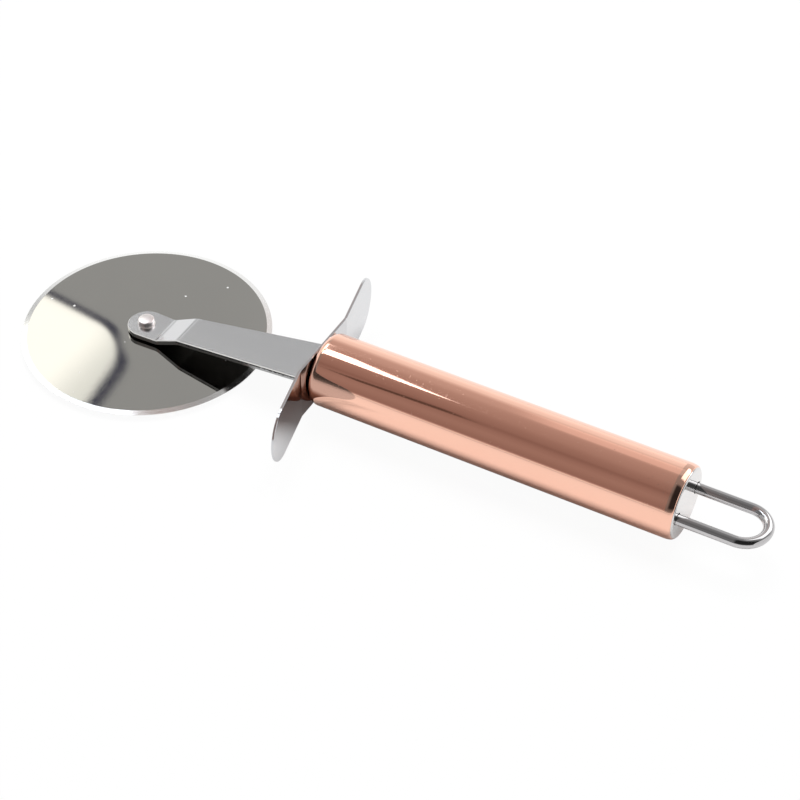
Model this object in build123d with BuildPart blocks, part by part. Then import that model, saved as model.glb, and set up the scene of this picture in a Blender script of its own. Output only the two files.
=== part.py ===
from build123d import *
import os
from math import cos, radians, sin

# Pizza cutter: a bevelled wheel that turns on a rivet at the end of a cranked steel arm,
# with a bent thumb guard and a round metal handle that ends in a wire loop.
# Millimetres. X runs from the wheel to the loop, Y runs across and Z is up.
# The origin is on the table, under the middle of the tool's length.

# Wheel
blade_diameter = 76.0
blade_thick = 1.0
bevel_width = 1.6
edge_land = 0.2

# Pivot: a shouldered rivet, set in the arm's tab, that carries the wheel between two washers
stub_diameter = 4.9
stub_height = 1.9
stub_bevel = 0.4
stub_crown = 0.25
shoulder_step = 0.8
running_play = 0.05
end_play = 0.05
rivet_head_diameter = 10.0
rivet_head_thick = 1.0
rivet_head_bevel = 0.5
lower_washer_diameter = 11.5
lower_washer_thick = 0.4
spacer_diameter = 9.4
spacer_thick = 0.7
washer_play = 0.1

# Arm: one strip of sheet with a round tab, a joggle, a long slope and a tang
arm_sheet = 1.5
tab_radius = 5.75
tab_hole_break = 0.25
joggle_start = 7.1
joggle_run = 8.1
joggle_rise = 3.75
slope_rise = 6.3
waist_distance = 7.2
waist_width = 11.0
waist_blend = 20.0
root_width = 16.9
root_bend_lead = 2.5
joggle_bend_radius = 2.5
root_bend_radius = 6.0
arm_reach = 61.8
shoulder_blend = 0.8
arm_edge_break = 0.2
tang_width = 10.0
tang_length = 30.0
tang_corner = 2.0

# Guard: a strip with full round ends, bent one way on one side and the other way on the other
guard_thick = 0.8
guard_height = 17.6
guard_middle = 26.3
wing_length = 25.0
wing_angle = 12.5
guard_bend_radius = 2.0
guard_edge_break = 0.15
guard_slot_play = 0.1

# Handle tube and the bush in its front end
handle_diameter = 22.1
handle_length = 113.2
handle_wall = 0.7
front_round = 2.4
front_round_angle = 60.0
lip_thick = 1.0
rear_land = 0.15
rear_bevel_run = 1.2
bush_proud = 0.4
bush_backing = 4.0

# End cap, the core behind it and the hanging loop
cap_thick = 0.8
bead_top = 0.4
bead_slant = 0.25
bead_height = 0.4
cap_hole_play = 0.3
core_backing = 4.0
wire_diameter = 3.2
loop_width = 13.7
loop_reach = 25.2
loop_leg_depth = 18.0

# Length that every cut runs past its piece
overrun = 5.0

# Radii worked out from the sizes above
blade_radius = blade_diameter / 2
stub_radius = stub_diameter / 2
shoulder_radius = stub_radius + shoulder_step
handle_radius = handle_diameter / 2
bore_radius = handle_radius - handle_wall
lip_radius = handle_radius - front_round
wire_radius = wire_diameter / 2
leg_offset = loop_width / 2

# Heights above the table, from the rivet's head up
z_lower_washer = rivet_head_thick
z_blade = z_lower_washer + lower_washer_thick + end_play
z_spacer = z_blade + blade_thick + end_play
z_tab = z_spacer + spacer_thick
z_rivet_top = z_tab + arm_sheet + stub_height
z_tang = z_tab + joggle_rise + slope_rise
z_axis = z_tang + arm_sheet / 2

# Distances along the tool, with the origin under the middle of its length
handle_from_pivot = arm_reach + guard_thick + bush_proud
overall_length = blade_radius + handle_from_pivot + handle_length + loop_reach
x_pivot = blade_radius - overall_length / 2
x_guard = x_pivot + arm_reach
x_bush = x_guard + guard_thick
x_handle = x_bush + bush_proud
x_rear = x_handle + handle_length
x_loop_end = x_rear + loop_reach
x_leg_end = x_rear - loop_leg_depth

# Planes and axes that the pieces are drawn on
pivot_plane = Plane(origin=(x_pivot, 0, 0), x_dir=(1, 0, 0), z_dir=(0, -1, 0))
pivot_axis = Axis((x_pivot, 0, 0), (0, 0, 1))
handle_plane = Plane(origin=(x_handle, 0, z_axis), x_dir=(1, 0, 0), z_dir=(0, -1, 0))
handle_axis = Axis((x_handle, 0, z_axis), (1, 0, 0))

os.makedirs("parts", exist_ok=True)


# Wheel: a flat disc, ground on both faces to a thin edge, with a bore that runs on the rivet
with BuildPart() as blade:
    with BuildSketch(pivot_plane):
        with BuildLine():
            Polyline(
                (shoulder_radius + running_play, z_blade),
                (blade_radius - bevel_width, z_blade),
                (blade_radius, z_blade + (blade_thick - edge_land) / 2),
                (blade_radius, z_blade + (blade_thick + edge_land) / 2),
                (blade_radius - bevel_width, z_blade + blade_thick),
                (shoulder_radius + running_play, z_blade + blade_thick),
                close=True,
            )
        make_face()
    revolve(axis=pivot_axis)
blade.part.label = "blade"
export_step(blade.part, "parts/blade.step")


# Rivet: a low head under the wheel, a shoulder that it turns on and a stub through the tab
crown_chord = stub_radius - stub_bevel
crown_radius = (crown_chord**2 + stub_crown**2) / (2 * stub_crown)
z_crown = z_rivet_top - stub_crown
with BuildPart() as pivot_rivet:
    with BuildSketch(pivot_plane):
        with BuildLine():
            Polyline(
                (0, z_rivet_top),
                (0, 0),
                (rivet_head_diameter / 2 - rivet_head_bevel, 0),
                (rivet_head_diameter / 2, rivet_head_bevel),
                (rivet_head_diameter / 2, rivet_head_thick),
                (shoulder_radius, rivet_head_thick),
                (shoulder_radius, z_tab),
                (stub_radius, z_tab),
                (stub_radius, z_crown - stub_bevel),
                (crown_chord, z_crown),
            )
            RadiusArc((crown_chord, z_crown), (0, z_rivet_top), -crown_radius)
        make_face()
    revolve(axis=pivot_axis)
pivot_rivet.part.label = "pivot_rivet"
export_step(pivot_rivet.part, "parts/pivot_rivet.step")


# Thin washer between the rivet's head and the wheel
with BuildPart() as lower_washer:
    with BuildSketch(Plane.XY.offset(z_lower_washer)):
        with Locations((x_pivot, 0)):
            Circle(lower_washer_diameter / 2)
            Circle(shoulder_radius + washer_play, mode=Mode.SUBTRACT)
    extrude(amount=lower_washer_thick)
lower_washer.part.label = "lower_washer"
export_step(lower_washer.part, "parts/lower_washer.step")


# Spacer washer between the wheel and the arm's tab
with BuildPart() as spacer_washer:
    with BuildSketch(Plane.XY.offset(z_spacer)):
        with Locations((x_pivot, 0)):
            Circle(spacer_diameter / 2)
            Circle(shoulder_radius + washer_play, mode=Mode.SUBTRACT)
    extrude(amount=spacer_thick)
spacer_washer.part.label = "spacer_washer"
export_step(spacer_washer.part, "parts/spacer_washer.step")


# Arm: the sheet's side profile, cut to its outline in plan
x_root_bend = x_guard - root_bend_lead
x_tang_end = x_guard + guard_thick + tang_length
with BuildPart() as arm:
    with BuildSketch(Plane.XZ):
        with BuildLine():
            FilletPolyline(
                (x_pivot - tab_radius - overrun, z_tab),
                (x_pivot + joggle_start, z_tab),
                (x_pivot + joggle_start + joggle_run, z_tab + joggle_rise),
                (x_root_bend, z_tang),
                (x_tang_end, z_tang),
                radius=[joggle_bend_radius + arm_sheet, joggle_bend_radius, root_bend_radius],
            )
            offset(amount=arm_sheet, side=Side.LEFT)
        make_face()
    extrude(amount=root_width, both=True)
    with BuildSketch():
        with BuildLine():
            ThreePointArc(
                (x_pivot - tab_radius, 0),
                (x_pivot - tab_radius * cos(radians(45)), tab_radius * sin(radians(45))),
                (x_pivot, tab_radius),
            )
            FilletPolyline(
                (x_pivot, tab_radius),
                (x_pivot + waist_distance, waist_width / 2),
                (x_guard, root_width / 2),
                (x_guard, tang_width / 2),
                (x_tang_end - tang_corner, tang_width / 2),
                (x_tang_end, tang_width / 2 - tang_corner),
                (x_tang_end, 0),
                radius=[waist_blend, shoulder_blend, 0, 0, 0],
            )
            Line((x_tang_end, 0), (x_pivot - tab_radius, 0))
        make_face()
        mirror(about=Plane.XZ)
    extrude(amount=z_axis + overrun, mode=Mode.INTERSECT)
    upper_faces = arm.faces().filter_by(lambda face: face.normal_at().Z > 0.5)
    upper_outline = upper_faces.edges().filter_by(Axis.Y, reverse=True)
    chamfer(
        upper_outline.filter_by(lambda edge: edge.center().X < x_guard - shoulder_blend),
        length=arm_edge_break,
    )
    with Locations((x_pivot, 0, z_tab + arm_sheet)):
        Hole(stub_radius)
    hole_rims = arm.edges(Select.LAST).filter_by(GeomType.CIRCLE)
    chamfer(hole_rims.sort_by(Axis.Z)[-1], length=tab_hole_break)
arm.part.label = "arm"
export_step(arm.part, "parts/arm.step")


# Guard: the strip's bent line in plan, cut to an oblong as seen along the handle
guard_length = guard_middle + 2 * wing_length * cos(radians(wing_angle))
strip_x = (wing_length + overrun) * sin(radians(wing_angle))
strip_y = (wing_length + overrun) * cos(radians(wing_angle))
guard_plane = Plane(origin=(x_guard, 0, z_axis), x_dir=(0, 1, 0), z_dir=(1, 0, 0))
with BuildPart() as guard:
    with BuildSketch(Plane.XY.offset(z_axis)):
        with BuildLine():
            FilletPolyline(
                (x_guard + strip_x, -guard_middle / 2 - strip_y),
                (x_guard, -guard_middle / 2),
                (x_guard, guard_middle / 2),
                (x_guard - strip_x, guard_middle / 2 + strip_y),
                radius=guard_bend_radius,
            )
            offset(amount=guard_thick, side=Side.RIGHT)
        make_face()
    extrude(amount=guard_height, both=True)
    with BuildSketch(guard_plane):
        SlotOverall(guard_length, guard_height)
    extrude(amount=wing_length, both=True, mode=Mode.INTERSECT)
    guard_rims = guard.edges().filter_by(Axis.Z, reverse=True).filter_by(Axis.X, reverse=True)
    chamfer(guard_rims, length=guard_edge_break)
    with BuildSketch(guard_plane):
        Rectangle(tang_width + 2 * guard_slot_play, arm_sheet + 2 * guard_slot_play)
    extrude(amount=guard_thick + overrun, both=True, mode=Mode.SUBTRACT)
guard.part.label = "guard"
export_step(guard.part, "parts/guard.step")


# Handle tube: its front end is rolled in over the bush, its rear edge is bevelled off
round_run = front_round * sin(radians(front_round_angle))
face_radius = lip_radius + front_round * cos(radians(front_round_angle))
with BuildPart() as handle_tube:
    with BuildSketch(handle_plane):
        with BuildLine():
            RadiusArc((0, face_radius), (round_run, handle_radius), front_round)
            Polyline(
                (round_run, handle_radius),
                (handle_length - rear_bevel_run, handle_radius),
                (handle_length, bore_radius + rear_land),
                (handle_length, bore_radius),
                (lip_thick, bore_radius),
                (lip_thick, lip_radius),
                (0, lip_radius),
                (0, face_radius),
            )
        make_face()
    revolve(axis=handle_axis)
handle_tube.part.label = "handle_tube"
export_step(handle_tube.part, "parts/handle_tube.step")


# Front bush: fills the tube's front end, stands a little proud and grips the tang in a slot
bush_length = tang_length - bush_proud + bush_backing
with BuildPart() as front_bush:
    with BuildSketch(handle_plane):
        with BuildLine():
            Polyline(
                (-bush_proud, 0),
                (-bush_proud, lip_radius),
                (lip_thick, lip_radius),
                (lip_thick, bore_radius),
                (bush_length, bore_radius),
                (bush_length, 0),
                close=True,
            )
        make_face()
    revolve(axis=handle_axis)
    add(arm.part, mode=Mode.SUBTRACT)
front_bush.part.label = "front_bush"
export_step(front_bush.part, "parts/front_bush.step")


# Hanging loop: one wire, bent to a half circle, with both legs held in the core
x_bend = x_loop_end - wire_radius - leg_offset
with BuildPart() as hanging_loop:
    with BuildLine(Plane.XY.offset(z_axis)):
        Line((x_leg_end, -leg_offset), (x_bend, -leg_offset))
        ThreePointArc((x_bend, -leg_offset), (x_bend + leg_offset, 0), (x_bend, leg_offset))
        Line((x_bend, leg_offset), (x_leg_end, leg_offset))
    with BuildSketch(Plane(origin=(x_leg_end, -leg_offset, z_axis), z_dir=(1, 0, 0))):
        Circle(wire_radius)
    sweep()
hanging_loop.part.label = "hanging_loop"
export_step(hanging_loop.part, "parts/hanging_loop.step")


# End cap: a polished disc in the tube's end, with a raised bead and two holes for the legs
cap_face_plane = Plane(origin=(x_rear, 0, z_axis), x_dir=(0, 1, 0), z_dir=(1, 0, 0))
with BuildPart() as end_cap:
    with BuildSketch(handle_plane):
        with BuildLine():
            Polyline(
                (handle_length, 0),
                (handle_length - cap_thick, 0),
                (handle_length - cap_thick, bore_radius),
                (handle_length, bore_radius),
                (handle_length + bead_height, bore_radius - bead_slant),
                (handle_length + bead_height, bore_radius - bead_slant - bead_top),
                (handle_length, bore_radius - bead_top - 2 * bead_slant),
                close=True,
            )
        make_face()
    revolve(axis=handle_axis)
    with BuildSketch(cap_face_plane):
        with Locations((-leg_offset, 0), (leg_offset, 0)):
            Circle(wire_radius + cap_hole_play)
    extrude(amount=-cap_thick, mode=Mode.SUBTRACT)
end_cap.part.label = "end_cap"
export_step(end_cap.part, "parts/end_cap.step")


# Core: a plug behind the cap, with a blind bore for each leg of the loop
core_length = loop_leg_depth - cap_thick + core_backing
with BuildPart() as rear_core:
    with BuildSketch(cap_face_plane.offset(-cap_thick)):
        Circle(bore_radius)
    extrude(amount=-core_length)
    with BuildSketch(cap_face_plane.offset(-loop_leg_depth)):
        with Locations((-leg_offset, 0), (leg_offset, 0)):
            Circle(wire_radius)
    extrude(amount=loop_leg_depth, mode=Mode.SUBTRACT)
rear_core.part.label = "rear_core"
export_step(rear_core.part, "parts/rear_core.step")
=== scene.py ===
# %% [markdown]
# # A pizza cutter on a white table
# This notebook dresses the engineering model of a pizza cutter: a polished steel wheel on a flat
# steel arm, a bent thumb guard, a copper-plated handle and a wire loop to hang it by. The
# engineering model already has the right sizes and places, so Blender's work is the light, the
# finishes and the small roundings that only show up close. Lengths are in metres, or in
# millimetres where they are multiplied by mm.

from math import cos, pi, radians, sin

import bpy
from mathutils import Matrix, Vector


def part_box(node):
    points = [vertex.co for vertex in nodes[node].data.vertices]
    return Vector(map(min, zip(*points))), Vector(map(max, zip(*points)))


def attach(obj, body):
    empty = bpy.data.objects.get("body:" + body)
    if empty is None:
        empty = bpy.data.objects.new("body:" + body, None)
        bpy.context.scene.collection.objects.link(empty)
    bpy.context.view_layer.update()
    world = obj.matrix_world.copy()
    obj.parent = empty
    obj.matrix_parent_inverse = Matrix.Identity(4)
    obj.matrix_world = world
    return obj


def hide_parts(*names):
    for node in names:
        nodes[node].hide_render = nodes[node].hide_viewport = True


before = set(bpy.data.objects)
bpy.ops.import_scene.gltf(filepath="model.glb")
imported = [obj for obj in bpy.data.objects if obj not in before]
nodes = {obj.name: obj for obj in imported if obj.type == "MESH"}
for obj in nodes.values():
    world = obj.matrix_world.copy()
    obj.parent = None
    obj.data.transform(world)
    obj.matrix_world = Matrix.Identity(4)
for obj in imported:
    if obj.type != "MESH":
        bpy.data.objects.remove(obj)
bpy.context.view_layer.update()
mm = 0.001
print("nodes:", ", ".join(sorted(nodes)))

# %% [markdown]
# # The camera
# The tool was photographed from above its handle with a long lens, which keeps the round wheel
# looking like a clean ellipse. The camera stands where lines drawn from the picture through the
# tool's edges meet. Its place and three turns are typed in, and a matrix is built from them,
# because that is exact and leaves nothing to a tracking constraint.

# %% Place the camera
camera_place = Vector((0.219513, -0.39536, 0.42901))
camera_yaw = radians(-28.38)
camera_pitch = radians(42.84)
camera_roll = radians(-0.46)

looking = Vector(
    (sin(camera_yaw) * cos(camera_pitch), cos(camera_yaw) * cos(camera_pitch), -sin(camera_pitch))
)
level_right = looking.cross(Vector((0, 0, 1))).normalized()
level_down = looking.cross(level_right)
right = cos(camera_roll) * level_right + sin(camera_roll) * level_down
down = -sin(camera_roll) * level_right + cos(camera_roll) * level_down

camera_data = bpy.data.cameras.new("camera")
camera_data.lens = 96.13
camera_data.clip_start = 0.01
camera_data.clip_end = 20
camera = bpy.data.objects.new("camera", camera_data)
bpy.context.scene.collection.objects.link(camera)
turn = Matrix((right, -down, -looking)).transposed().to_4x4()
camera.matrix_world = Matrix.Translation(camera_place) @ turn
bpy.context.scene.camera = camera
print("camera", round(camera_place.length, 3), "m from the middle of the tool")

# %% [markdown]
# # A short way to write shaders
# Finishes are sums of patterns, and sums read best as Python. A Wire is one output of a shader
# node. Adding, multiplying or comparing wires adds the Math node that does it. The alternative,
# dozens of lines that make nodes and link them one by one, hides what the finish is.


# %% Wires
class Wire:
    """One output of a shader node."""

    def __init__(self, finish, socket):
        self.finish = finish
        self.socket = socket

    def maths(self, operation, first, second=0.0):
        return self.finish.node("ShaderNodeMath", {"operation": operation}, {0: first, 1: second})

    def __add__(self, other):
        return self.maths("ADD", self, other)

    def __radd__(self, other):
        return self.maths("ADD", other, self)

    def __sub__(self, other):
        return self.maths("SUBTRACT", self, other)

    def __rsub__(self, other):
        return self.maths("SUBTRACT", other, self)

    def __mul__(self, other):
        return self.maths("MULTIPLY", self, other)

    def __rmul__(self, other):
        return self.maths("MULTIPLY", other, self)

    def __truediv__(self, other):
        return self.maths("DIVIDE", self, other)

    def __pow__(self, other):
        return self.maths("POWER", self, other)

    def __lt__(self, other):
        return self.maths("LESS_THAN", self, other)

    def __gt__(self, other):
        return self.maths("GREATER_THAN", self, other)

    def size(self):
        return self.maths("ABSOLUTE", self)

    def root(self):
        return self.maths("SQRT", self)

    def smaller(self, other):
        return self.maths("MINIMUM", self, other)

    def larger(self, other):
        return self.maths("MAXIMUM", self, other)

    def step(self, low, high):
        """A soft step: 0 below low, 1 above high."""
        settings = {"interpolation_type": "SMOOTHSTEP"}
        return self.finish.node("ShaderNodeMapRange", settings, {0: self, 1: low, 2: high})

    def between(self, low, high, soft):
        """1 from low to high, with soft ends."""
        return self.step(low - soft, low + soft) * (1 - self.step(high - soft, high + soft))

    def parts(self, axes):
        """Numbers of a point or direction: X along the tool, Y across it, Z up."""
        return [self.finish.node("ShaderNodeSeparateXYZ", {}, {0: self}, axis) for axis in axes]


print("wires are ready")

# %% [markdown]
# A Finish is a material or a world that is being built. Its method called node adds any node,
# from the kind of node, its settings, and the values or wires of its sockets.


# %% Finishes
class Finish:
    """A material or a world that is being built."""

    def __init__(self, owner):
        owner.use_nodes = True
        self.owner = owner
        self.tree = owner.node_tree
        self.tree.nodes.clear()

    def node(self, kind, settings, sockets, output=0):
        """Adds a node and returns the wire of one of its outputs."""
        made = self.tree.nodes.new(kind)
        for name, value in settings.items():
            if name == "stops":
                self.set_stops(made.color_ramp.elements, value)
            else:
                setattr(made, name, value)
        for key, value in sockets.items():
            if isinstance(value, Wire):
                self.tree.links.new(value.socket, made.inputs[key])
            else:
                made.inputs[key].default_value = value
        return Wire(self, made.outputs[output]) if made.outputs else None

    def set_stops(self, elements, stops):
        """Gives a colour ramp its greys, from (place, shade) pairs."""
        while len(elements) < len(stops):
            elements.new(1.0)
        for element, (place, shade) in zip(elements, stops):
            element.position = place
            element.color = (shade, shade, shade, 1)

    def point(self):
        """The point of the surface, in metres."""
        return self.node("ShaderNodeTexCoord", {}, {}, "Object")

    def light_path(self, question):
        """What is known of the ray that meets the surface."""
        return self.node("ShaderNodeLightPath", {}, {}, question)


def rgba(colour):
    return colour if isinstance(colour, Wire) else (*colour, 1)


def mixed(finish, share, first, second):
    """Goes from the first colour to the second as share goes from 0 to 1."""
    # The Mix node has its two colours on sockets 6 and 7, and the mixed one on output 2.
    sockets = {0: share, 6: rgba(first), 7: rgba(second)}
    return finish.node("ShaderNodeMix", {"data_type": "RGBA"}, sockets, 2)


def blended(finish, share, first, second):
    """Goes from the first surface to the second as share goes from 0 to 1."""
    return finish.node("ShaderNodeMixShader", {}, {0: share, 1: first, 2: second})


print("finishes are ready")

# %% [markdown]
# # The studio
# Polished metal has hardly any colour of its own: it shows the room. A photographer stands such a
# tool on a white table in front of a white wall, hangs a grey cloth over it so that the metal gets
# darker bands, and adds soft lights whose edges draw crisp shapes. The same is done here. The room
# is white at a strength of one where the camera and the metal see it, and lights everything else
# at about a third of that.

# %% White room
world = bpy.data.worlds.new("white_room")
bpy.context.scene.world = world
room = Finish(world)
in_view = room.light_path("Is Camera Ray")
in_metal = room.light_path("Is Glossy Ray")
in_glass = room.light_path("Is Transmission Ray")
lit = room.node("ShaderNodeBackground", {}, {"Color": (1, 1, 1, 1), "Strength": 0.35})
white = room.node("ShaderNodeBackground", {}, {"Color": (1, 1, 1, 1), "Strength": 1.0})
shown = blended(room, in_view + in_metal + in_glass, lit, white)
room.node("ShaderNodeOutputWorld", {}, {"Surface": shown})
bpy.context.scene.view_settings.view_transform = "Standard"
print("room", world.name)

# %% [markdown]
# The table is a plain white top under the tool. The tool's shadow has to stay on it, but the
# camera should see hardly anything else, so for the camera most of the table glows white and the
# rest is lit paint that can go dark. The metal sees the paint alone, which gives the handle its
# dark lower edge. Where two pieces of metal mirror the table one after the other, a narrow strip
# beside the handle's front is painted dim and reddish: a painted shadow for the tool's shade on the
# table there. That gives the guard its dark red tones.


# %% White table
def deselect():
    if bpy.context.mode != "OBJECT":
        bpy.ops.object.mode_set(mode="OBJECT")
    bpy.ops.object.select_all(action="DESELECT")


def new_finish(name, surface_of):
    """Makes a material whose surface is what the recipe returns."""
    finish = Finish(bpy.data.materials.new(name))
    finish.node("ShaderNodeOutputMaterial", {}, {"Surface": surface_of(finish)})
    return finish.owner


def painted(finish, colour):
    return finish.node("ShaderNodeBsdfDiffuse", {}, {"Color": rgba(colour)})


def glowing(finish, colour, strength=1.0):
    return finish.node("ShaderNodeEmission", {}, {"Color": rgba(colour), "Strength": strength})


def mirrored_twice(finish):
    """1 for a ray that two surfaces have already sent on, 0 for any other."""
    return finish.light_path("Ray Depth") > 1.5


def table_paint(finish):
    along, across = finish.point().parts("XY")
    glow_share = finish.light_path("Is Camera Ray") * 0.95
    white_top = painted(finish, (0.92, 0.92, 0.92))
    seen = blended(finish, glow_share, white_top, glowing(finish, (1, 1, 1)))
    beside_handle = 1 - across.size().step(0.018, 0.03)
    # Painted shadow: beside the handle's front the table is painted dim and reddish for rays
    # mirrored twice, for the tool's shade there.
    painted_shadow_strip = mirrored_twice(finish) * beside_handle * along.between(-0.035, 0.08, 0.015)
    return blended(finish, painted_shadow_strip, seen, painted(finish, (0.3, 0.18, 0.14)))


deselect()
bpy.ops.mesh.primitive_plane_add(size=6, location=(0, 0, 0))
table = bpy.context.object
table.name = "table"
table.data.materials.append(new_finish("table_paint", table_paint))
print("table", tuple(round(side, 2) for side in table.dimensions))

# %% [markdown]
# The grey cloth is half a tunnel along the tool. Its shade changes with the angle above the table,
# counted in half turns: it starts above the white back wall, is lightest there, darkens past the
# top, has one dark seam towards the camera, and ends above the table's front. The stretch that the
# copper mirrors is a little warm. A colour ramp holds the greys, because each can be set alone.


# %% The cloth's colour
def cloth_colour(finish, along, angle):
    shades = [(0.15, 0.98), (0.172, 0.87), (0.2, 0.74), (0.235, 0.61), (0.256, 0.59)]
    shades += [(0.322, 0.56), (0.389, 0.475), (0.456, 0.44), (0.522, 0.41), (0.589, 0.35)]
    shades += [(0.661, 0.31), (0.694, 0.265), (0.722, 0.29), (0.755, 0.325), (0.822, 0.36)]
    shades += [(0.861, 0.35), (0.928, 0.315), (0.96, 0.3), (0.978, 0.56), (0.99, 0.9)]
    ramp = finish.node("ShaderNodeValToRGB", {"stops": shades}, {0: angle})
    shade = finish.node("ShaderNodeSeparateColor", {}, {0: ramp}, "Red")
    over_copper = along.between(-0.72, -0.232, 0.004)
    warm = [shade ** (1 + extra * over_copper) for extra in (0.0, 0.25, 0.32)]
    return finish.node("ShaderNodeCombineColor", {}, dict(enumerate(warm)))


print("cloth colour is ready")

# %% [markdown]
# The cloth isn't equally bright all over. Low on the back wall it is brighter, beyond the wheel a
# little darker, and darker over the loop. Behind the camera, past the handle's end, it is nearly
# black, though less so in a second mirroring. The guard and the rounded rims show that end. Two
# patches are lighter: one for the wheel's bevel and one for the tube's rear rim.


# %% The cloth's brightness
def cloth_strength(finish, along, angle):
    above_wall = angle.step(0.1, 0.2)
    far = 0.15 * (1 - along.step(-0.78, -0.62)) + 0.12 * (1 - along.step(-1.06, -1.0))
    beyond_wheel = 1 - far * above_wall
    over_loop = 1 - 0.35 * along.step(-0.236, -0.23)
    darkness = 0.87 - 0.3 * mirrored_twice(finish)
    dark_end = 1 - darkness * along.step(-0.15, 0.1) * angle.between(0.52, 0.93, 0.03)
    low_wall = 1 + 0.25 * (1 - angle.step(0.0, 0.14))
    for_bevel = 0.4 * along.between(-0.4, 0.0, 0.04) * angle.between(0.2, 0.34, 0.02)
    for_rear_rim = 3.0 * along.between(0.06, 1.15, 0.04) * angle.between(0.14, 0.4, 0.02)
    return beyond_wheel * over_loop * dark_end * low_wall + for_bevel + for_rear_rim


print("cloth brightness is ready")

# %% [markdown]
# The cloth itself is an open cylinder with the tool on its axis. Only the metal sees it, so it
# never hides the tool. It is also left out when light is sampled, because the lamp does the
# lighting. Below its front edge it is see-through.


# %% Grey cloth over the table
def only_in_metal(card, finish_name, face):
    """Gives a card its face and hides the card from all but mirror images."""
    material = new_finish(finish_name, face)
    material.cycles.emission_sampling = "NONE"
    card.data.materials.append(material)
    card.visible_camera = False
    card.visible_diffuse = False
    card.visible_shadow = False
    card.visible_transmission = False


def only_where(finish, there, surface):
    """Keeps a surface where there is 1, and leaves a gap where it is 0."""
    gap = finish.node("ShaderNodeBsdfTransparent", {}, {})
    return blended(finish, there, gap, surface)


def cloth_shade(finish):
    along, across, up = finish.point().parts("XYZ")
    angle = up.maths("ARCTAN2", up, across) / pi
    colour = cloth_colour(finish, along, angle)
    # Painted light: the cloth glows with these greys rather than being lit, and only the metal
    # mirrors it.
    cloth = glowing(finish, colour, cloth_strength(finish, along, angle))
    return only_where(finish, 1 - angle.step(0.985, 0.99), cloth)


deselect()
bpy.ops.mesh.primitive_cylinder_add(
    vertices=128, radius=1.5, depth=5, end_fill_type="NOTHING", rotation=(0, pi / 2, 0)
)
cloth = bpy.context.object
cloth.name = "grey_cloth"
bpy.ops.object.transform_apply(location=True, rotation=True, scale=True)
only_in_metal(cloth, "cloth_shade", cloth_shade)
print("cloth", tuple(round(side, 2) for side in cloth.dimensions))

# %% [markdown]
# Two soft lights and a dark strip hang under the cloth. Each is a flat card whose finish draws its
# outline, because a soft edge is easier to draw than to model.


# %% Hang a card
card_height = 0.7


def hang_card(name, low, high, face):
    """A level card from its corner low to its corner high."""
    middle = ((low[0] + high[0]) / 2, (low[1] + high[1]) / 2, card_height)
    deselect()
    bpy.ops.mesh.primitive_plane_add(size=1, location=middle)
    card = bpy.context.object
    card.name = name
    card.scale = (high[0] - low[0], high[1] - low[1], 1)
    bpy.ops.object.transform_apply(location=True, rotation=True, scale=True)
    only_in_metal(card, name + "_face", face)
    print(name, [round(side, 2) for side in card.dimensions])


print("cards hang", card_height, "m above the table")

# %% [markdown]
# The first light lies where the left part of the wheel mirrors it. It is creamy and turned a
# little. One corner is rounded, and a dark frame runs along it, which is wider on one side and
# fades at the corner.


# %% Cream light
def cream_face(finish):
    along, across = finish.point().parts("XY")
    corner = 0.046
    turned = 0.135
    end_x, end_y = -0.56, 0.6412
    past_x = (along + turned * (across - 0.6) - end_x + corner).larger(0.0)
    past_y = (across + turned * (along + 0.6) - end_y + corner).larger(0.0)
    edge = corner - (past_x * past_x + past_y * past_y).root()
    at_corner = (past_x * past_y).step(0.25 * corner * corner, 0.45 * corner * corner)
    frame_colour = mixed(finish, at_corner, (0.08, 0.08, 0.12), (0.5, 0.5, 0.5))
    cream = mixed(finish, along.step(-0.615, -0.575), (2.0, 1.98, 1.88), (1.4, 1.4, 1.33))
    frame_end = 0.007 + past_x * (0.006 / corner)
    past_frame = edge.step(frame_end, frame_end + 0.005)
    lit = blended(finish, past_frame, glowing(finish, frame_colour), glowing(finish, cream))
    return only_where(finish, edge.step(0.0, 0.004), lit)


hang_card("cream_light", (-1.25, 0.12), (-0.55, 0.66), cream_face)

# %% [markdown]
# The second light has a slanted end, which gives the handle's front its tapering white streak. A
# shorter part lies behind it, and a notch keeps it out of the wheel's bevel. The dark strip beside
# the light draws the thin dark line below that streak.


# %% Streak light and dark strip
def inside(along, across, edge_x, edge_y, turned):
    """How far a point lies inside a straight edge through (edge_x, edge_y) that faces turned."""
    return (edge_x - along) * cos(radians(turned)) + (edge_y - across) * sin(radians(turned))


def streak_face(finish):
    along, across = finish.point().parts("XY")
    front_part = inside(along, across, -0.257, 0.08, 20.7).smaller(0.17 - across)
    rear_part = inside(along, across, -0.337, 0.34, 9).smaller(0.45 - across)
    off_notch = (along + 0.31).larger(0.09 - across).larger(across - 0.17)
    edge = front_part.larger(rear_part).smaller(across + 0.055).smaller(off_notch)
    return only_where(finish, edge.step(0.0, 0.006), glowing(finish, (3.2, 3.4, 3.6)))


def seam_face(finish):
    along, across = finish.point().parts("XY")
    half_width = 0.035
    ends = (along + 0.42).smaller(-0.25 - along)
    edge = (half_width - inside(along, across, -0.33, -0.62, 144).size()).smaller(ends)
    return only_where(finish, edge.step(0.0, 0.02), glowing(finish, (0.1, 0.07, 0.06)))


hang_card("streak_light", (-0.62, -0.07), (-0.2, 0.46), streak_face)
hang_card("seam_strip", (-0.45, -0.85), (-0.22, -0.45), seam_face)

# %% [markdown]
# One wide lamp above and a little behind gives the table its soft shadow, which falls towards the
# camera. It isn't seen in the metal, where the cards stand for it.

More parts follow.
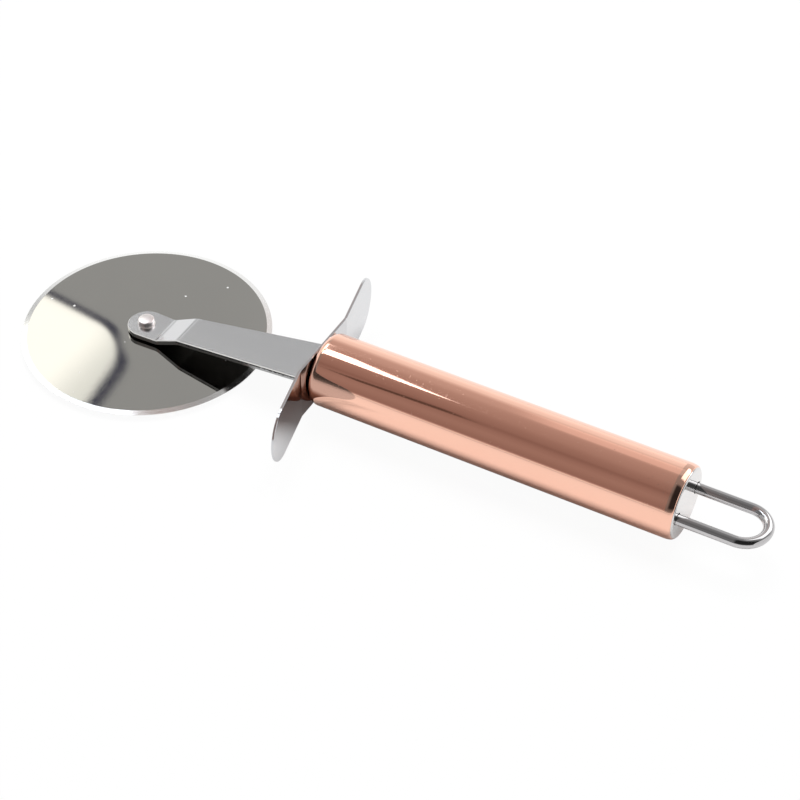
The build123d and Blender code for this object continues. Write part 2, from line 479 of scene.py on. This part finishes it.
# %% Lamp
lamp_data = bpy.data.lights.new("overhead_lamp", "AREA")
lamp_data.shape = "DISK"
lamp_data.size = 0.9
lamp_data.energy = 16.5
lamp = bpy.data.objects.new("overhead_lamp", lamp_data)
lamp.location = (-0.1, 0.3, 1.3)
lamp.rotation_euler = (-Vector(lamp.location)).to_track_quat("-Z", "Y").to_euler()
lamp.visible_glossy = False
bpy.context.scene.collection.objects.link(lamp)
print("lamp", lamp_data.energy, "W")

# %% [markdown]
# # Finer round pieces
# The engineering model's rims are bevelled flat, because that keeps it light. Close up, the real
# rims are round, and a round rim catches a highlight. The rivet, the tube, the end cap and the
# loop are therefore made again with the same sizes. A lathe would turn the first three, so they
# are built as on a lathe: one circle is pulled along the axis and resized, ring by ring.


# %% A lathe
merge_distance = 0.000001
crease_angle = radians(35)


def smooth(body):
    """Shades a piece round, except at edges that turn by more than the crease angle."""
    deselect()
    body.select_set(True)
    bpy.ops.object.shade_smooth_by_angle(angle=crease_angle)


def face_outwards():
    bpy.ops.mesh.select_all(action="SELECT")
    bpy.ops.mesh.normals_make_consistent(inside=False)


def turned_piece(name, middle, axis, rings, steps, filled):
    """Turns a body from (distance along the axis, radius) pairs, in millimetres."""
    line = Vector((1, 0, 0)) if axis == "X" else Vector((0, 0, 1))
    tilt = (0, pi / 2, 0) if axis == "X" else (0, 0, 0)
    place, radius = rings[0]
    deselect()
    bpy.ops.mesh.primitive_circle_add(
        vertices=steps,
        radius=radius * mm,
        fill_type="NGON" if filled else "NOTHING",
        location=middle + line * place * mm,
        rotation=tilt,
    )
    body = bpy.context.object
    body.name = name
    bpy.ops.object.transform_apply(location=True, rotation=True, scale=True)
    bpy.ops.object.mode_set(mode="EDIT")
    bpy.ops.mesh.select_all(action="SELECT")
    for next_place, next_radius in rings[1:]:
        pulled = line * (next_place - place) * mm
        grown = next_radius / radius
        size = (1, grown, grown) if axis == "X" else (grown, grown, 1)
        centre = middle + line * next_place * mm
        bpy.ops.mesh.extrude_region_move(TRANSFORM_OT_translate={"value": pulled})
        bpy.ops.transform.resize(value=size, center_override=centre)
        place, radius = next_place, next_radius
    bpy.ops.mesh.select_all(action="SELECT")
    bpy.ops.mesh.remove_doubles(threshold=merge_distance)
    face_outwards()
    smooth(body)
    return body


print("the lathe is ready")

# %% [markdown]
# A rounded rim is part of an ellipse, so its rings are worked out from angles. Each new piece then
# says which body it rides on and which node it stands for.


# %% Round rims, and fitting to the tool
def quarter(centre_place, centre_radius, long, tall, first, last, steps):
    """Rings on part of an ellipse, by angle from the radial direction."""
    angles = [radians(first + (last - first) * step / steps) for step in range(steps + 1)]
    return [(centre_place + long * sin(a), centre_radius + tall * cos(a)) for a in angles]


def fit_to(piece, node):
    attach(piece, "tool")
    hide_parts(node)
    sides = [round((high - low) / mm, 2) for low, high in zip(*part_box(node))]
    print(piece.name, "stands for", node, sides, "mm, with", len(piece.data.polygons), "faces")


print("rims are ready")

# %% [markdown]
# The rivet is the pin that the wheel turns on. Its stub stands up through the arm's tab with a
# flat-domed top and a crisp rounded rim.

# %% Rivet
pivot = Vector((-81.7, 0, 0)) * mm
rivet_head = [(0, 4.5), (0.5, 5.0), (1.0, 5.0)]
rivet_shoulder = [(1.0, 3.25), (3.2, 3.25)]
rivet_stub = [(3.2, 2.45), *quarter(6.1, 2.1, 0.38, 0.35, 0, 80, 8)]
rivet_top = [(6.53, 1.6), (6.57, 1.0), (6.6, 0.3)]
rivet_rings = rivet_head + rivet_shoulder + rivet_stub + rivet_top
rivet = turned_piece("round_rivet", pivot, "Z", rivet_rings, 96, True)
fit_to(rivet, "pivot_rivet")

# %% [markdown]
# The handle is a thin tube whose front end is rolled in over the black bush, and whose rear edge
# is rounded over the cap. The rings go along the outside and come back along the bore.

# %% Handle tube
handle_height = 14.0
handle_start = Vector((-18.7, 0, handle_height)) * mm
outside, bore, mouth = 11.05, 10.35, 8.65
rolled = 2.4
rolled_middle = rolled * sin(radians(60))
tube_rings = [(1.0, mouth)]
tube_rings += quarter(rolled_middle, mouth, rolled, rolled, -90, 0, 20)
tube_rings += [(rolled_middle + 0.1, outside), (110.7, outside)]
tube_rings += quarter(110.8, 10.4, 2.4, 0.65, 0, 90, 16)
tube_rings += [(113.2, bore), (1.0, bore), (1.0, mouth)]
tube = turned_piece("rolled_tube", handle_start, "X", tube_rings, 192, False)
fit_to(tube, "handle_tube")

# %% [markdown]
# The end cap is a polished disc that stands a little proud of the tube, with a round rim and a
# hole for each leg of the loop. It is turned, and a Boolean modifier drills the holes. They are a
# little wider than the wire, which leaves a dark gap round it.

# %% End cap
leg_side = 6.85
hole_rise = 0.1
cap_rings = [(112.4, 10.3), (113.2, bore)]
cap_rings += quarter(113.2, 9.75, 0.4, 0.6, 10, 90, 8)
cap_rings += [(113.6, 9.6)]
cap = turned_piece("beaded_cap", handle_start, "X", cap_rings, 192, True)
drill_rings = [(111.0, 1.85), (115.0, 1.85)]
for side in (-1, 1):
    beside = handle_start + Vector((0, side * leg_side, hole_rise)) * mm
    drill = turned_piece("drill", beside, "X", drill_rings, 64, True)
    deselect()
    bpy.context.view_layer.objects.active = cap
    cap.select_set(True)
    cut = cap.modifiers.new("leg_hole", "BOOLEAN")
    cut.operation = "DIFFERENCE"
    cut.solver = "EXACT"
    cut.object = drill
    bpy.ops.object.modifier_apply(modifier=cut.name)
    bpy.data.objects.remove(drill)
smooth(cap)
fit_to(cap, "end_cap")

# %% [markdown]
# The loop is one round wire, bent to a half circle. A circle is pulled along the first leg, spun
# half a turn round the bend's middle and pulled back along the second leg. Its two open ends are
# then filled.

# %% Hanging loop
wire_radius = 1.6 * mm
leg_end = Vector((76.5, -leg_side, handle_height)) * mm
bend_middle = Vector((111.24, 0, handle_height)) * mm
leg_pull = Vector((bend_middle.x - leg_end.x, 0, 0))
deselect()
bpy.ops.mesh.primitive_circle_add(
    vertices=64, radius=wire_radius, location=leg_end, rotation=(0, pi / 2, 0)
)
loop = bpy.context.object
loop.name = "bent_loop"
bpy.ops.object.transform_apply(location=True, rotation=True, scale=True)
bpy.ops.object.mode_set(mode="EDIT")
bpy.ops.mesh.select_all(action="SELECT")
bpy.ops.mesh.extrude_region_move(TRANSFORM_OT_translate={"value": leg_pull})
bpy.ops.mesh.spin(steps=72, angle=-pi, center=bend_middle, axis=(0, 0, 1))
bpy.ops.mesh.extrude_region_move(TRANSFORM_OT_translate={"value": -leg_pull})
bpy.ops.mesh.select_all(action="SELECT")
bpy.ops.mesh.remove_doubles(threshold=merge_distance)
bpy.ops.mesh.fill_holes(sides=0)
face_outwards()
smooth(loop)
fit_to(loop, "hanging_loop")
print("loop spans", [round(side / mm, 2) for side in loop.dimensions], "mm")

# %% [markdown]
# # Finishes
# Every surface here is the same recipe with other numbers: a colour, a roughness that a fine grain
# makes uneven, and a bump from the same grain. Dust and small pits are scattered specks.


# %% The recipe for a surface
def grain(finish, point, scale, seed):
    """Noise from 0 to 1, stretched by a scale for each axis."""
    sockets = {"Vector": point, "Location": (seed, seed, seed), "Scale": scale}
    stretched = finish.node("ShaderNodeMapping", {}, sockets)
    sockets = {"Vector": stretched, "Scale": 1.0, "Detail": 3.0, "Roughness": 0.6}
    return finish.node("ShaderNodeTexNoise", {}, sockets)


def specks(finish, point, spacing, radius, seed, kept):
    """Round specks: 1 on a speck, 0 off it. Kept is the share of the places that have one."""
    sockets = {"Vector": point, "Location": (seed, seed, seed)}
    moved = finish.node("ShaderNodeMapping", {}, sockets)
    sockets = {"Vector": moved, "Scale": 1 / spacing}
    away = finish.node("ShaderNodeTexVoronoi", {}, sockets, "Distance")
    lot = finish.node("ShaderNodeTexVoronoi", {}, sockets, "Color")
    drawn = finish.node("ShaderNodeSeparateColor", {}, {0: lot}, "Red")
    rim = radius / spacing
    return (1 - away.step(rim * 0.6, rim)) * (drawn < kept)


def surface(finish, colour, roughness, height, depth, metallic=1.0, shape=None):
    """A polished or matt skin. Depth is the bump's in metres, and shape is a bump below it."""
    bumps = {"Height": height, "Distance": depth, "Strength": 1.0}
    if shape:
        bumps["Normal"] = shape
    bump = finish.node("ShaderNodeBump", {}, bumps)
    sockets = {"Base Color": colour, "Roughness": roughness, "Normal": bump, "Metallic": metallic}
    return finish.node("ShaderNodeBsdfPrincipled", {}, sockets)


def dress(pieces, finish_name, recipe):
    """Makes a finish and gives it to pieces or nodes of the tool."""
    material = new_finish(finish_name, recipe)
    for piece in pieces:
        piece.data.materials.clear()
        piece.data.materials.append(material)
    print(finish_name, "is on", ", ".join(piece.name for piece in pieces))


print("the recipe is ready")

# %% [markdown]
# The wheel is mirror-polished stainless steel with a faint brushing and some dust. Its ground bevel
# is brighter and a little rougher than the flat. The dust is matt white, so it isn't metallic.


# %% Blade steel
def blade_steel(finish):
    point = finish.point()
    along, across = point.parts("XY")
    off_pivot = along - pivot.x
    out = (off_pivot * off_pivot + across * across).root()
    bevel = out.step(0.03630, 0.03650)
    brushed = grain(finish, point, scale=(9000, 300, 9000), seed=3)
    smears = grain(finish, point, scale=(60, 60, 60), seed=5)
    flat = mixed(finish, brushed * 0.5 + smears * 0.5, (0.50, 0.49, 0.465), (0.55, 0.535, 0.495))
    ground = mixed(finish, bevel, flat, (0.86, 0.86, 0.85))
    dust = specks(finish, point, spacing=0.0045, radius=0.0004, seed=31, kept=0.3)
    colour = mixed(finish, dust, ground, (0.85, 0.85, 0.85))
    roughness = 0.015 + brushed * 0.015 + smears * 0.01 + bevel * 0.15 + dust * 0.5
    height = brushed + dust * 3
    return surface(finish, colour, roughness, height, depth=0.0000005, metallic=1 - dust)


dress([nodes["blade"]], "blade_steel_finish", blade_steel)

# %% [markdown]
# The arm is satin sheet with a joggle. The engineering model folds it sharply there, and a bump
# rounds the two creases. Its upper edges are painted pale and matt: a painted highlight for the
# light
# that a rounded edge would catch. The press that cut it out left two zones on the long slope's
# sides:
# smooth below and torn dark above, with a ragged line between them. The underside is painted near
# black and rough: a painted shade for the dark under the arm.


# %% Arm steel
tab_end = -0.0746
slope_start = -0.0665
slope_height = 0.008465
slope_rise = 0.14286
torn_depth = 0.0006
torn_line = 0.0001
raggedness = 0.0024
bend_reach = 0.0012


def rounded_bend(along, line, change):
    """Height that rounds off a crease across the arm where the slope changes by change."""
    left = (bend_reach - (along - line).size()).larger(0.0)
    return left * left * (change / (4 * bend_reach))


def torn_zone(finish, point):
    """1 on the part of the slope's sides that the press tore, down to a ragged line."""
    along, up = point.parts("XZ")
    slope_top = slope_height + (along - slope_start) * slope_rise
    ragged = grain(finish, point, scale=(2200, 2200, 300), seed=9)
    below_top = slope_top - up + (ragged - 0.5) * raggedness
    return 1 - below_top.step(torn_depth, torn_depth + torn_line)


def arm_steel(finish):
    point = finish.point()
    (along,) = point.parts("X")
    (upward,) = finish.node("ShaderNodeNewGeometry", {}, {}, "True Normal").parts("Z")
    side = 1 - upward.size().step(0.1, 0.4)
    # Painted highlight: the upper edges' chamfers are made pale, matt and not metallic, so the lamp
    # lights them like rounded edges.
    painted_edge_highlight = upward.between(0.6, 0.8, 0.04)
    # Painted shade: the downward faces are made near black for the dark under the arm.
    painted_underside_shade = (0 - upward).step(0.4, 0.6)
    rolled_grain = grain(finish, point, scale=(300, 6000, 6000), seed=7)
    clouds = grain(finish, point, scale=(120, 120, 120), seed=8)
    satin_share = rolled_grain * 0.6 + clouds * 0.4
    satin = mixed(finish, satin_share, (0.6, 0.6, 0.61), (0.67, 0.67, 0.68))
    torn = side * torn_zone(finish, point)
    cut_side = mixed(finish, torn, (0.33, 0.33, 0.33), (0.04, 0.04, 0.04))
    colour = mixed(finish, side, satin, cut_side)
    # The painted highlight on the upper edges.
    colour = mixed(finish, painted_edge_highlight, colour, (0.85, 0.84, 0.82))
    # The painted shade on the underside.
    colour = mixed(finish, painted_underside_shade, colour, (0.03, 0.03, 0.03))
    roughness = 0.16 + rolled_grain * 0.06 + torn * 0.3 + painted_underside_shade * 0.3 + painted_edge_highlight * 0.3
    bends = rounded_bend(along, tab_end, 0.444) + rounded_bend(along, slope_start, -0.301)
    bent = finish.node("ShaderNodeBump", {}, {"Height": bends, "Distance": 1.0, "Strength": 1.0})
    height = rolled_grain + clouds
    return surface(finish, colour, roughness, height, 0.000003, metallic=1 - painted_edge_highlight, shape=bent)


dress([nodes["arm"]], "arm_steel_finish", arm_steel)

# %% [markdown]
# The guard is polished sheet with a cool tone. It mirrors the handle's front and the table, and
# the polish is slightly uneven.


# %% Guard steel
def guard_steel(finish):
    smears = grain(finish, finish.point(), scale=(150, 150, 600), seed=11)
    colour = mixed(finish, smears, (0.56, 0.565, 0.58), (0.62, 0.625, 0.64))
    return surface(finish, colour, 0.06 + smears * 0.06, smears, depth=0.000003)


dress([nodes["guard"]], "guard_steel_finish", guard_steel)

# %% [markdown]
# The copper is a thin polished plating. It has faint drawing lines along it, a fine orange-peel
# texture that breaks up the edges of reflections, tiny pits and a few scratches round it near the
# end of the white streak.


# %% Copper plate
def copper_plate(finish):
    point = finish.point()
    (along,) = point.parts("X")
    peel = grain(finish, point, scale=(2200, 2200, 2200), seed=13)
    drawn = grain(finish, point, scale=(200, 5000, 5000), seed=15)
    smears = grain(finish, point, scale=(80, 80, 80), seed=17)
    pits = specks(finish, point, spacing=0.0011, radius=0.00016, seed=33, kept=0.35)
    rubbed = grain(finish, point, scale=(4000, 220, 220), seed=35).step(0.66, 0.72)
    scratches = rubbed * along.between(0.008, 0.024, 0.004)
    colour = mixed(finish, smears, (0.91, 0.535, 0.405), (0.94, 0.565, 0.435))
    roughness = 0.035 + peel * 0.02 + drawn * 0.02 + pits * 0.2 + scratches * 0.15
    height = peel + drawn * 0.3 - pits * 2 - scratches * 1.5
    return surface(finish, colour, roughness, height, depth=0.0000025)


dress([tube], "copper_plate_finish", copper_plate)

# %% [markdown]
# The cap is the brightest polish, the wire is drawn steel with fine lines along it, and the rivet
# is softer steel with a rosy tone and a rougher skin. The washers are plain and dull.


# %% Cap, wire, rivet and washer steel
def cap_steel(finish):
    smears = grain(finish, finish.point(), scale=(400, 400, 400), seed=19)
    colour = mixed(finish, smears, (0.65, 0.645, 0.64), (0.71, 0.705, 0.7))
    return surface(finish, colour, 0.05 + smears * 0.05, smears, depth=0.000001)


def wire_steel(finish):
    drawn = grain(finish, finish.point(), scale=(300, 4000, 4000), seed=21)
    colour = mixed(finish, drawn, (0.5, 0.49, 0.495), (0.58, 0.57, 0.575))
    return surface(finish, colour, 0.06 + drawn * 0.06, drawn, depth=0.000002)


def rivet_steel(finish):
    pits = grain(finish, finish.point(), scale=(3000, 3000, 3000), seed=23)
    colour = mixed(finish, pits, (0.84, 0.78, 0.77), (0.92, 0.87, 0.86))
    return surface(finish, colour, 0.24 + pits * 0.1, pits, depth=0.000006)


def washer_steel(finish):
    pits = grain(finish, finish.point(), scale=(2000, 2000, 2000), seed=25)
    colour = mixed(finish, pits, (0.2, 0.2, 0.2), (0.28, 0.28, 0.28))
    return surface(finish, colour, 0.3 + pits * 0.1, pits, depth=0.000004)


dress([cap], "cap_steel_finish", cap_steel)
dress([loop], "wire_steel_finish", wire_steel)
dress([rivet], "rivet_steel_finish", rivet_steel)
dress([nodes["lower_washer"], nodes["spacer_washer"]], "washer_steel_finish", washer_steel)

# %% [markdown]
# The bush and the core are moulded black plastic with a fine matt skin.


# %% Black plastic
def black_plastic(finish):
    skin = grain(finish, finish.point(), scale=(2500, 2500, 2500), seed=27)
    colour = mixed(finish, skin, (0.012, 0.012, 0.013), (0.022, 0.022, 0.023))
    return surface(finish, colour, 0.4 + skin * 0.15, skin, depth=0.00001, metallic=0.0)


dress([nodes["front_bush"], nodes["rear_core"]], "black_plastic_finish", black_plastic)
